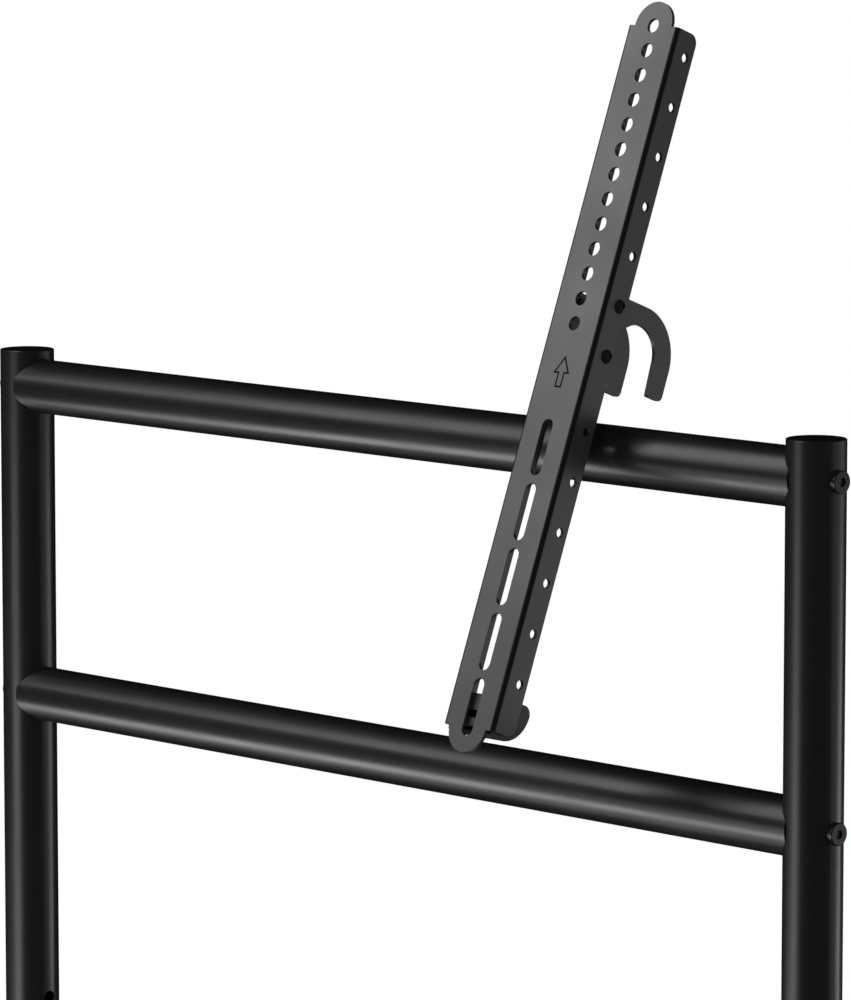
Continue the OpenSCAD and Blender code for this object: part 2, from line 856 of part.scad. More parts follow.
at_caster(1, -1) caster_fork();  // front_right_fork
at_caster(1, -1) caster_axle();  // front_right_axle
at_caster(1, -1) caster_hub();  // front_right_hub
at_caster(1, -1) caster_tyre();  // front_right_tyre
at_caster(1, -1) caster_pedal();  // front_right_pedal
at_caster(1, -1) caster_pedal_pin();  // front_right_pedal_pin
at_caster(-1, 1) caster_stem();  // rear_left_stem
at_caster(-1, 1) caster_fork();  // rear_left_fork
at_caster(-1, 1) caster_axle();  // rear_left_axle
at_caster(-1, 1) caster_hub();  // rear_left_hub
at_caster(-1, 1) caster_tyre();  // rear_left_tyre
at_caster(-1, 1) caster_pedal();  // rear_left_pedal
at_caster(-1, 1) caster_pedal_pin();  // rear_left_pedal_pin
at_caster(1, 1) caster_stem();  // rear_right_stem
at_caster(1, 1) caster_fork();  // rear_right_fork
at_caster(1, 1) caster_axle();  // rear_right_axle
at_caster(1, 1) caster_hub();  // rear_right_hub
at_caster(1, 1) caster_tyre();  // rear_right_tyre
at_caster(1, 1) caster_pedal();  // rear_right_pedal
at_caster(1, 1) caster_pedal_pin();  // rear_right_pedal_pin
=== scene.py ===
"""Rolling display stand of round black tube with one hook-on arm: its finishes, small pieces and studio."""

import json
import math

import bpy
import numpy as np
from bpy.props import FloatProperty, FloatVectorProperty, IntProperty, PointerProperty
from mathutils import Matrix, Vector


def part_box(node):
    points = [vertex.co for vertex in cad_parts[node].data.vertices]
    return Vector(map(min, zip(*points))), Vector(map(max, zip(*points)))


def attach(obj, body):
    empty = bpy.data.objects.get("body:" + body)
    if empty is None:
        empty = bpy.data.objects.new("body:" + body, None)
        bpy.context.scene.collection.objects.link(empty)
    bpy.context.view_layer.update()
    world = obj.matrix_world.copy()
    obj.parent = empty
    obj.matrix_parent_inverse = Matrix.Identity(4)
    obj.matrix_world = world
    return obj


bl_info = {
    "name": "Rolling display stand",
    "version": (1, 0, 0),
    "blender": (4, 5, 0),
    "location": "View3D > Sidebar > Stand",
    "description": "Dresses the rolling display stand and sets its studio",
    "category": "Object",
}

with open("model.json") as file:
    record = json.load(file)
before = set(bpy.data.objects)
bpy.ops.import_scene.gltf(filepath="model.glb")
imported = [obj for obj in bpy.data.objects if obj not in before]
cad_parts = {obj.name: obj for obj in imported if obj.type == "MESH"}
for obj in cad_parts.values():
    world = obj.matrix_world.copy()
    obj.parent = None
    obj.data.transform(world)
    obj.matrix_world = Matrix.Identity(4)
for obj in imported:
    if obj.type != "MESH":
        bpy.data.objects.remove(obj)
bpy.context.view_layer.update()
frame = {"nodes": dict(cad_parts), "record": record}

MM = 0.001
BLACK = (0.008, 0.008, 0.008)
# How far the arrow's line stands off the face, and how far below the top bar the lamps aim
ARROW_PROUD = 0.03 * MM
AIM_DROP = 0.1
# Size of a patch of roughness, the range where noise has most of its values, and the flecks' part of it
PATCH = 60 * MM
NOISE_LOW, NOISE_HIGH = 0.3, 0.7
FLECK_LOW, FLECK_HIGH = 0.35, 0.7
# Vertices along a grip's half round, and round the floor's and the flags' rings
GRIP_STEPS = 7
FLOOR_STEPS = 96
FLAG_STEPS = 64
# CAD nodes by finish
CORNERS = ("front_left", "front_right", "rear_left", "rear_right")
TUBE_NODES = ("left_post", "right_post", "top_bar", "lower_bar", "base_bar", "left_foot", "right_foot")
CAP_NODES = ("left_post_cap", "right_post_cap", "foot_caps")
ARM_NODES = ("arm_channel", "left_hook", "right_hook")
BOLT_NODES = ("bar_bolts", "saddle_washers", "foot_bolts", "foot_washers", "hook_screws", "hook_nuts")


def mount(name):
    """Place, direction and length in metres of one of the record's mounts."""
    found = [m for m in frame["record"]["mounts"] if m["name"] == name][0]
    return np.array(found["pos_m"], float), np.array(found["axis"], float), found["dims"]["length_mm"] * MM


def middle(node):
    """Middle of a node's box at rest."""
    low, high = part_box(node)
    return (np.array(low) + np.array(high)) / 2


TOP_BAR = middle("top_bar")


class StandFrameLook(bpy.types.PropertyGroup):
    """Coat of the tube frame."""

    coat_color: FloatVectorProperty(
        name="Coat colour", description="Colour of the powder coat on the tubes",
        subtype="COLOR", size=3, min=0, max=1, default=(0.008, 0.008, 0.0082))
    coat_rough: FloatProperty(
        name="Coat roughness", description="Roughness of the powder coat on the tubes",
        min=0, max=1, default=0.32)
    bolt_color: FloatVectorProperty(
        name="Bolt colour", description="Colour of the blackened bolts",
        subtype="COLOR", size=3, min=0, max=1, default=BLACK)


class StandArmLook(bpy.types.PropertyGroup):
    """Coat of the arm and the mark on its face."""

    coat_color: FloatVectorProperty(
        name="Coat colour", description="Colour of the powder coat on the arm",
        subtype="COLOR", size=3, min=0, max=1, default=(0.021, 0.021, 0.0217))
    coat_rough: FloatProperty(
        name="Coat roughness", description="Roughness of the powder coat on the arm",
        min=0, max=1, default=0.38)
    coat_level: FloatProperty(
        name="Coat shine", description="Shine of the powder coat on the arm's flats",
        min=0, max=1, default=0.85)
    # Less shine on the outside of the folds, going with the painted shade there
    fold_level: FloatProperty(
        name="Fold shine", description="Shine of the thin coat on the outside of the folds",
        min=0, max=1, default=0.3)
    # Painted shade: the outside of the folds is coloured darker than the coat, standing in for the dark
    # reflection along the bends
    fold_shade_color: FloatVectorProperty(
        name="Fold colour", description="Colour of the thin coat on the outside of the folds",
        subtype="COLOR", size=3, min=0, max=1, default=(0.006, 0.006, 0.006))
    arrow_drop: FloatProperty(
        name="Arrow drop", description="Distance of the arrow's tip below the top hole",
        unit="LENGTH", default=203.7 * MM)
    arrow_head_h: FloatProperty(
        name="Arrow head height", description="Height of the arrow's head",
        unit="LENGTH", default=9.3 * MM)
    arrow_head_w: FloatProperty(
        name="Arrow head width", description="Width of the arrow's head",
        unit="LENGTH", default=11.2 * MM)
    arrow_stem_w: FloatProperty(
        name="Arrow stem width", description="Width of the arrow's stem",
        unit="LENGTH", default=4.4 * MM)
    arrow_len: FloatProperty(
        name="Arrow length", description="Length of the arrow from tip to tail",
        unit="LENGTH", default=17.8 * MM)
    arrow_line: FloatProperty(
        name="Arrow line", description="Width of the arrow's scribed line",
        unit="LENGTH", default=1.1 * MM)


class StandCasterLook(bpy.types.PropertyGroup):
    """Small forms of the casters and their sockets."""

    socket_r: FloatProperty(
        name="Socket radius", description="Outside radius of the sockets in the feet",
        unit="LENGTH", default=10 * MM)
    weld_r: FloatProperty(
        name="Weld radius", description="Radius of the weld bead", unit="LENGTH", default=1.5 * MM)
    weld_steps: IntProperty(
        name="Weld steps", description="Rings of vertices round a weld bead", default=96)
    weld_ripples: IntProperty(
        name="Weld ripples", description="Ripples round a weld bead", default=24)
    weld_depth: FloatProperty(
        name="Weld ripple depth", description="Height of a ripple, as a share of the bead's radius",
        min=0, max=1, default=0.12)
    rib_count: IntProperty(
        name="Ribs", description="Ribs on each side of a wheel centre", default=6)
    rib_in: FloatProperty(
        name="Rib root", description="Distance of a rib's root from the wheel's middle plane",
        unit="LENGTH", default=2.8 * MM)
    rib_out: FloatProperty(
        name="Rib edge", description="Distance of a rib's edge from the wheel's middle plane",
        unit="LENGTH", default=9 * MM)
    rib_start: FloatProperty(
        name="Rib start", description="Distance of a rib's start from the axle",
        unit="LENGTH", default=9.5 * MM)
    rib_end: FloatProperty(
        name="Rib end", description="Distance of a rib's end from the axle",
        unit="LENGTH", default=27.5 * MM)
    rib_t: FloatProperty(
        name="Rib thickness", description="Thickness of a rib", unit="LENGTH", default=2.2 * MM)
    grip_count: IntProperty(
        name="Grips", description="Ridges on a brake pedal", default=3)
    grip_r: FloatProperty(
        name="Grip radius", description="Radius of a ridge", unit="LENGTH", default=0.8 * MM)
    grip_pitch: FloatProperty(
        name="Grip pitch", description="Distance between ridges", unit="LENGTH", default=4 * MM)
    grip_inset: FloatProperty(
        name="Grip inset", description="Distance of the first ridge from the pedal's tip",
        unit="LENGTH", default=7 * MM)
    grip_margin: FloatProperty(
        name="Grip margin", description="Distance of a ridge's ends from the pedal's sides",
        unit="LENGTH", default=2 * MM)
    pedal_rise: FloatProperty(
        name="Pedal rise", description="Height of the pedal's top above its pin, at the pin",
        unit="LENGTH", default=3.5 * MM)
    pedal_slope: FloatProperty(
        name="Pedal slope", description="Fall of the pedal's top along its length", default=0.109)


class StandStageLook(bpy.types.PropertyGroup):
    """Camera, lamps and floor."""

    view_yaw: FloatProperty(
        name="View yaw", description="Turn of the camera about the upright axis",
        subtype="ANGLE", default=math.radians(46.19))
    view_pitch: FloatProperty(
        name="View pitch", description="How far the camera looks down",
        subtype="ANGLE", default=math.radians(7.28))
    lens: FloatProperty(
        name="Lens", description="Focal length on a 36 mm wide sensor",
        subtype="DISTANCE_CAMERA", unit="CAMERA", default=212.9)
    view_from: FloatVectorProperty(
        name="View from", description="Camera's place from the middle of the top bar",
        subtype="TRANSLATION", unit="LENGTH", size=3, default=(2.5910, -2.4595, 0.4126))
    floor_radius: FloatProperty(
        name="Floor radius", description="Radius of the pale floor", unit="LENGTH", default=2.6)
    floor_color: FloatVectorProperty(
        name="Floor colour", description="Colour of the pale floor",
        subtype="COLOR", size=3, min=0, max=1, default=(0.93, 0.93, 0.93))
    soft_light: FloatProperty(
        name="Soft light", description="Strength of the light from all round", min=0, max=2, default=0.68)
    upper_power: FloatProperty(
        name="Upper lamp", description="Power of the lamp high on the left", unit="POWER", default=18.5)
    lower_power: FloatProperty(
        name="Lower lamp", description="Power of the lamp low on the left", unit="POWER", default=11.7)
    front_power: FloatProperty(
        name="Front strip", description="Power of the strip lamp in front", unit="POWER", default=8.5)
    rear_power: FloatProperty(
        name="Rear strip", description="Power of the strip lamp behind on the right",
        unit="POWER", default=8.2)
    side_power: FloatProperty(
        name="Side lamp", description="Power of the weak lamp on the right", unit="POWER", default=3)
    flag_radius: FloatProperty(
        name="Flag radius", description="Radius of the black flags round the stand",
        unit="LENGTH", default=3.2)
    flag_gap: FloatProperty(
        name="Flag gap", description="Radius of the opening below, in the black flags",
        unit="LENGTH", default=0.38)
    flag_low: FloatProperty(
        name="Flag bottom", description="Height of the black flags' lower edge",
        unit="LENGTH", default=0.3)
    flag_high: FloatProperty(
        name="Flag top", description="Height of the black flags' top", unit="LENGTH", default=4.4)
    flag_vent: FloatProperty(
        name="Flag vent", description="Radius of the small opening in the flags' top",
        unit="LENGTH", default=0.01)


def new_material(name, color, rough, metal=0.0, level=0.5):
    """Principled material with its uniform values on the shader's own sockets."""
    mat = bpy.data.materials.new(name)
    mat.use_nodes = True
    shader = mat.node_tree.nodes["Principled BSDF"]
    shader.inputs["Base Color"].default_value = (*color, 1)
    shader.inputs["Roughness"].default_value = rough
    shader.inputs["Metallic"].default_value = metal
    shader.inputs["Specular IOR Level"].default_value = level
    return mat


def grain(tree, shader, size, depth):
    """Fine relief: noise of a grain size on Object coordinates, as bump of a given depth. Returns both."""
    coords = tree.nodes.new("ShaderNodeTexCoord")
    noise = tree.nodes.new("ShaderNodeTexNoise")
    bump = tree.nodes.new("ShaderNodeBump")
    noise.inputs["Scale"].default_value = 1 / size
    noise.inputs["Detail"].default_value = 3
    bump.inputs["Strength"].default_value = 1
    bump.inputs["Distance"].default_value = depth
    tree.links.new(coords.outputs["Object"], noise.inputs["Vector"])
    tree.links.new(noise.outputs["Fac"], bump.inputs["Height"])
    tree.links.new(bump.outputs["Normal"], shader.inputs["Normal"])
    return coords, noise


def calculate(tree, operation, first, second=None, clamp=False):
    """Output of a math node on one or two inputs; each is a socket or a plain number."""
    node = tree.nodes.new("ShaderNodeMath")
    node.operation = operation
    node.use_clamp = clamp
    for place, value in enumerate(v for v in (first, second) if v is not None):
        if isinstance(value, bpy.types.NodeSocket):
            tree.links.new(value, node.inputs[place])
        else:
            node.inputs[place].default_value = value
    return node.outputs[0]


def vary(tree, coords, size, low, high, socket):
    """Slow change of one value over a surface: noise of a patch size, mapped between two ends."""
    noise = tree.nodes.new("ShaderNodeTexNoise")
    spread = tree.nodes.new("ShaderNodeMapRange")
    noise.inputs["Scale"].default_value = 1 / size
    spread.inputs["From Min"].default_value = NOISE_LOW
    spread.inputs["From Max"].default_value = NOISE_HIGH
    spread.inputs["To Min"].default_value = low
    spread.inputs["To Max"].default_value = high
    tree.links.new(coords.outputs["Object"], noise.inputs["Vector"])
    tree.links.new(noise.outputs["Fac"], spread.inputs["Value"])
    tree.links.new(spread.outputs["Result"], socket)


def fleck(tree, noise, shader, color, light):
    """Colour that follows the grain: its hollows keep the colour, its tops are lighter by a factor."""
    ramp = tree.nodes.new("ShaderNodeValToRGB")
    hollow, top = ramp.color_ramp.elements
    hollow.position = FLECK_LOW
    hollow.color = (*color, 1)
    top.position = FLECK_HIGH
    top.color = (*(light * c for c in color), 1)
    tree.links.new(noise.outputs["Fac"], ramp.inputs["Fac"])
    tree.links.new(ramp.outputs["Color"], shader.inputs["Base Color"])


def finish(name, color, rough, size, depth, light=1.2, metal=0.0, level=0.5):
    """A finish with relief, flecks and a slow change of roughness by a tenth either way."""
    mat = new_material(name, color, rough, metal, level)
    tree = mat.node_tree
    shader = tree.nodes["Principled BSDF"]
    coords, noise = grain(tree, shader, size, depth)
    fleck(tree, noise, shader, color, light)
    vary(tree, coords, PATCH, 0.9 * rough, 1.1 * rough, shader.inputs["Roughness"])
    return mat


def tube_coat():
    """Black powder coat of the tubes."""
    look = bpy.context.scene.stand_frame_look
    return finish("tube_coat", look.coat_color, look.coat_rough, size=1.6 * MM, depth=0.012 * MM)


def fold_shade_mask(tree, node, face):
    """Mask of the painted shade on the arm: 1 on the outside of the arm's folds and 0 on its flats: 3 * |n.x|
    * |n.f|, held between 0 and 1, where n is the surface's own direction, x the arm's width and f the
      direction that its face looks in."""
    turn = node.matrix_world.to_3x3().inverted()
    coords = tree.nodes.new("ShaderNodeTexCoord")
    sizes = []
    for direction in (Vector((1, 0, 0)), Vector(face)):
        dot = tree.nodes.new("ShaderNodeVectorMath")
        dot.operation = "DOT_PRODUCT"
        dot.inputs[1].default_value = turn @ direction
        tree.links.new(coords.outputs["Normal"], dot.inputs[0])
        sizes.append(calculate(tree, "ABSOLUTE", dot.outputs["Value"]))
    return calculate(tree, "MULTIPLY", calculate(tree, "MULTIPLY", *sizes), 3.0, clamp=True)


def arm_coat():
    """Powder coat of the arm, with painted shade on the outside of the folds: a darker colour and less shine
    there stand in for the dark reflection along the bends.
    """
    look = bpy.context.scene.stand_arm_look
    mat = finish("arm_coat", look.coat_color, look.coat_rough, size=0.9 * MM, depth=0.012 * MM, light=1.15,
                 level=look.coat_level)
    tree = mat.node_tree
    shader = tree.nodes["Principled BSDF"]
    painted_shade = fold_shade_mask(tree, frame["nodes"]["arm_channel"], mount("arm_hole_top")[1])
    shine = tree.nodes.new("ShaderNodeMapRange")
    shine.inputs["To Min"].default_value = look.coat_level
    shine.inputs["To Max"].default_value = look.fold_level
    tree.links.new(painted_shade, shine.inputs["Value"])
    tree.links.new(shine.outputs["Result"], shader.inputs["Specular IOR Level"])
    # Painted shade: the darker fold colour is mixed in where the mask is 1, on the outside of the folds
    blend = tree.nodes.new("ShaderNodeMix")
    blend.data_type = "RGBA"
    flat_color, fold_shade_color = [socket for socket in blend.inputs if socket.type == "RGBA"]
    result = [socket for socket in blend.outputs if socket.type == "RGBA"][0]
    fold_shade_color.default_value = (*look.fold_shade_color, 1)
    tree.links.new(painted_shade, blend.inputs[0])
    tree.links.new(shader.inputs["Base Color"].links[0].from_socket, flat_color)
    tree.links.new(result, shader.inputs["Base Color"])
    return mat


def arrow_ink():
    """Dull black of the scribed arrow."""
    return finish("arrow_groove", (0.005, 0.005, 0.005), 0.7, size=0.4 * MM, depth=0.02 * MM, light=1.5,
                  level=0.1)


def black_oxide():
    """Blackened steel of the bolts, washers and nuts."""
    look = bpy.context.scene.stand_frame_look
    return finish("black_oxide", look.bolt_color, 0.24, size=0.5 * MM, depth=0.006 * MM)


def zinc_plate():
    """Zinc plate of the casters' forks and the inserts."""
    return finish("zinc_plate", (0.55, 0.56, 0.58), 0.34, size=0.7 * MM, depth=0.01 * MM, light=1.1,
                  metal=1.0)


def cap_plastic():
    """Moulded black plastic of the wheels' centres, the pedals and the arm's heel."""
    return finish("moulded_plastic", (0.016, 0.016, 0.016), 0.45, size=0.5 * MM, depth=0.01 * MM)


def tyre_rubber():
    """Black rubber of the tyres."""
    return finish("tyre_rubber", (0.022, 0.022, 0.022), 0.7, size=0.8 * MM, depth=0.02 * MM, light=1.3,
                  level=0.35)


def dress(names, mat):
    """Gives CAD nodes a finish; their meshes stay as they are."""
    for name in names:
        node = frame["nodes"][name]
        node.data.materials.clear()
        node.data.materials.append(mat)


def add_piece(name, verts, faces, mat, body, slot, smooth=True):
    """A new mesh piece from numpy vertices and faces, at the origin, riding on a body."""
    mesh = bpy.data.meshes.new(name)
    mesh.from_pydata(np.asarray(verts, float).tolist(), [], [[int(v) for v in face] for face in faces])
    mesh.materials.append(mat)
    mesh.polygons.foreach_set("use_smooth", np.full(len(mesh.polygons), smooth))
    mesh.update()
    obj = bpy.data.objects.new(name, mesh)
    bpy.context.scene.collection.objects.link(obj)
    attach(obj, body)


def grid_faces(rows, cols, wrap_rows=False, wrap_cols=False):
    """Quads of a rows by cols grid of vertices, closed round either way."""
    i = np.arange(rows if wrap_rows else rows - 1)
    j = np.arange(cols if wrap_cols else cols - 1)
    i, j = np.meshgrid(i, j, indexing="ij")
    i2, j2 = (i + 1) % rows, (j + 1) % cols
    quads = np.stack([i * cols + j, i2 * cols + j, i2 * cols + j2, i * cols + j2], -1)
    return quads.reshape(-1, 4)


class STAND_OT_tubes(bpy.types.Operator):
    """Coat the posts, bars, feet and caps"""

    bl_idname = "stand.tubes"
    bl_label = "Tubes and caps"

    def execute(self, context):
        dress(TUBE_NODES + CAP_NODES + ("caster_sockets",), tube_coat())
        return {"FINISHED"}


class STAND_OT_fasteners(bpy.types.Operator):
    """Finish the bolts, washers, nuts and inserts"""

    bl_idname = "stand.fasteners"
    bl_label = "Fasteners"

    def execute(self, context):
        dress(BOLT_NODES, black_oxide())
        dress(("bar_inserts", "post_inserts"), zinc_plate())
        return {"FINISHED"}


class STAND_OT_arm(bpy.types.Operator):
    """Coat the arm and its hooks"""

    bl_idname = "stand.arm"
    bl_label = "Display arm"

    def execute(self, context):
        dress(ARM_NODES, arm_coat())
        dress(("arm_heel",), cap_plastic())
        return {"FINISHED"}


def on_arm_face(across, down, proud):
    """Points on the arm's face, from the middle of its top hole: across it, down it and proud of it."""
    top, normal, sheet = mount("arm_hole_top")
    bottom = mount("arm_hole_bottom")[0]
    along = (bottom - top) / np.linalg.norm(bottom - top)
    side = np.array([1.0, 0.0, 0.0])
    face = top + normal * sheet / 2
    across, down, proud = np.broadcast_arrays(across, down, proud)
    return face + across[..., None] * side + down[..., None] * along + proud[..., None] * normal


def ribbon_corners(points, half):
    """Mitred offsets of a closed outline: each corner moves half * (n1 + n2) / (1 + n1.n2), where n1 and
    n2 are the normals of its two sides."""
    edge = np.roll(points, -1, 0) - points
    edge /= np.linalg.norm(edge, axis=1)[:, None]
    normal = np.stack([edge[:, 1], -edge[:, 0]], -1)
    before = np.roll(normal, 1, 0)
    mitre = (normal + before) / (1 + np.sum(normal * before, 1))[:, None]
    return points + half * mitre, points - half * mitre


class STAND_OT_arrow(bpy.types.Operator):
    """Scribe the outline of the upward arrow on the arm's face"""

    bl_idname = "stand.arrow"
    bl_label = "Arrow mark"

    def execute(self, context):
        look = context.scene.stand_arm_look
        head, stem = look.arrow_head_w / 2, look.arrow_stem_w / 2
        tip, neck, tail = 0, look.arrow_head_h, look.arrow_len
        outline = np.array([[0, tip], [head, neck], [stem, neck], [stem, tail],
                            [-stem, tail], [-stem, neck], [-head, neck]], float)
        outer, inner = ribbon_corners(outline, look.arrow_line / 2)
        flat = np.concatenate([outer, inner])
        verts = on_arm_face(flat[:, 0], flat[:, 1] + look.arrow_drop, ARROW_PROUD)
        count = len(outline)
        i = np.arange(count)
        j = (i + 1) % count
        faces = np.stack([i, i + count, j + count, j], -1)
        add_piece("arrow_mark", verts, faces, arrow_ink(), "arm", "arm_black", smooth=False)
        return {"FINISHED"}


class STAND_OT_casters(bpy.types.Operator):
    """Finish the four casters"""

    bl_idname = "stand.casters"
    bl_label = "Casters"

    def execute(self, context):
        plate, plastic, rubber = zinc_plate(), cap_plastic(), tyre_rubber()
        for corner in CORNERS:
            dress([f"{corner}_{k}" for k in ("stem", "fork", "axle", "pedal_pin")], plate)
            dress([f"{corner}_{k}" for k in ("hub", "pedal")], plastic)
            dress([corner + "_tyre"], rubber)
        return {"FINISHED"}


def join_parts(parts):
    """One vertex array and one list of faces from several parts."""
    verts, faces, start = [], [], 0
    for part_verts, part_faces in parts:
        verts.append(part_verts.reshape(-1, 3))
        faces += [[start + int(corner) for corner in face] for face in part_faces]
        start += len(verts[-1])
    return np.concatenate(verts), faces


def tube_along(path, radius, sides=10):
    """Round bead carried along a closed path: each ring is path + radius * (cos t * out + sin t * up), where
    up and out are square to the path's direction."""
    ahead = np.roll(path, -1, 0) - np.roll(path, 1, 0)
    ahead /= np.linalg.norm(ahead, axis=1)[:, None]
    up = np.array([0.0, 0.0, 1.0]) - ahead * ahead[:, 2:3]
    up /= np.linalg.norm(up, axis=1)[:, None]
    out = np.cross(ahead, up)
    turn = np.linspace(0, 2 * np.pi, sides, endpoint=False)
    ring = np.cos(turn)[None, :, None] * out[:, None] + np.sin(turn)[None, :, None] * up[:, None]
    verts = path[:, None] + radius[:, None, None] * ring
    return verts, grid_faces(len(path), sides, True, True)


class STAND_OT_welds(bpy.types.Operator):
    """Run a weld bead round each caster socket where it enters its foot"""

    bl_idname = "stand.welds"
    bl_label = "Socket welds"

    def execute(self, context):
        look = context.scene.stand_caster_look
        coat = frame["nodes"]["left_foot"].data.materials[0]
        for side in ("left", "right"):
            foot = middle(side + "_foot")
            low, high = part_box(side + "_foot")
            tube_r = (high.x - low.x) / 2
            parts = []
            for end in ("front", "rear"):
                stem = middle(f"{end}_{side}_stem")
                turn = np.linspace(0, 2 * np.pi, look.weld_steps, endpoint=False)
                x = look.socket_r * np.cos(turn)
                y = look.socket_r * np.sin(turn)
                path = np.stack([stem[0] + x, stem[1] + y, foot[2] - np.sqrt(tube_r ** 2 - x ** 2)], -1)
                ripple = 1 + look.weld_depth * np.sin(turn * look.weld_ripples)
                parts.append(tube_along(path, look.weld_r * ripple))
            add_piece(side + "_socket_welds", *join_parts(parts), coat, "frame", "frame_black")
        return {"FINISHED"}


def box_between(low, high):
    """Eight corners and six outward quads of a box."""
    low, high = np.asarray(low, float), np.asarray(high, float)
    pick = np.array([[x, y, z] for z in (0, 1) for y in (0, 1) for x in (0, 1)])
    faces = np.array([[0, 2, 3, 1], [4, 5, 7, 6], [0, 1, 5, 4], [2, 6, 7, 3], [0, 4, 6, 2], [1, 3, 7, 5]])
    return low + pick * (high - low), faces


class STAND_OT_wheel_ribs(bpy.types.Operator):
    """Stiffen each wheel centre with ribs from boss to rim, on both sides of its web"""

    bl_idname = "stand.wheel_ribs"
    bl_label = "Wheel ribs"

    def execute(self, context):
        look = context.scene.stand_caster_look
        for corner in CORNERS:
            centre = middle(corner + "_hub")
            plastic = frame["nodes"][corner + "_hub"].data.materials[0]
            parts = []
            for turn in np.arange(look.rib_count) * 2 * np.pi / look.rib_count:
                for side in (-1, 1):
                    near, far = side * look.rib_in, side * look.rib_out
                    low = (min(near, far), look.rib_start, -look.rib_t / 2)
                    high = (max(near, far), look.rib_end, look.rib_t / 2)
                    verts, faces = box_between(low, high)
                    y = verts[:, 1] * np.cos(turn) - verts[:, 2] * np.sin(turn)
                    z = verts[:, 1] * np.sin(turn) + verts[:, 2] * np.cos(turn)
                    parts.append((np.stack([verts[:, 0], y, z], -1) + centre, faces))
            add_piece(corner + "_wheel_ribs", *join_parts(parts), plastic, corner + "_wheel", "plastic_black",
                      smooth=False)
        return {"FINISHED"}


class STAND_OT_pedal_grips(bpy.types.Operator):
    """Mould three grip ridges across the toe of each brake pedal"""

    bl_idname = "stand.pedal_grips"
    bl_label = "Pedal grips"

    def execute(self, context):
        look = context.scene.stand_caster_look
        for corner in CORNERS:
            low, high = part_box(corner + "_pedal")
            hub = middle(corner + "_hub")
            outward = 1 if (low.y + high.y) / 2 > hub[1] else -1
            tip = high.y if outward > 0 else low.y
            pin = middle(corner + "_pedal_pin")
            plastic = frame["nodes"][corner + "_pedal"].data.materials[0]
            parts = []
            for i in range(look.grip_count):
                y = tip - outward * (look.grip_inset + i * look.grip_pitch)
                reach = abs(y - pin[1])
                top = pin[2] + look.pedal_rise - reach * look.pedal_slope
                turn = np.linspace(0, np.pi, GRIP_STEPS)
                profile_y = y + look.grip_r * np.cos(turn)
                profile_z = top + look.grip_r * np.sin(turn)
                across = np.linspace(low.x + look.grip_margin, high.x - look.grip_margin, 2)
                grid = np.stack(np.broadcast_arrays(across[:, None], profile_y[None], profile_z[None]), -1)
                ends = [np.arange(len(turn))[::-1], np.arange(len(turn), 2 * len(turn))]
                parts.append((grid, list(grid_faces(2, len(turn), False, True)[:, ::-1]) + ends))
            add_piece(corner + "_pedal_grips", *join_parts(parts), plastic, corner + "_brake",
                      "plastic_black")
        return {"FINISHED"}


def add_lamp(name, size, power, place, target):
    """A soft lamp of a width and height that faces a target, unseen by the camera."""
    lamp = bpy.data.lights.new(name, "AREA")
    lamp.shape = "RECTANGLE"
    lamp.size, lamp.size_y = size
    lamp.energy = power
    obj = bpy.data.objects.new(name, lamp)
    bpy.context.scene.collection.objects.link(obj)
    obj.location = place
    obj.rotation_euler = (Vector(target) - Vector(place)).to_track_quat("-Z", "Y").to_euler()
    obj.visible_camera = False
    return obj


def keep_off(lamp, obj):
    """Keep a lamp's light off one object, as a card set beside the lamp does."""
    shaded = bpy.data.collections.new(lamp.name + "_keeps_off")
    shaded.objects.link(obj)
    shaded.collection_objects[0].light_linking.link_state = "EXCLUDE"
    lamp.light_linking.receiver_collection = shaded


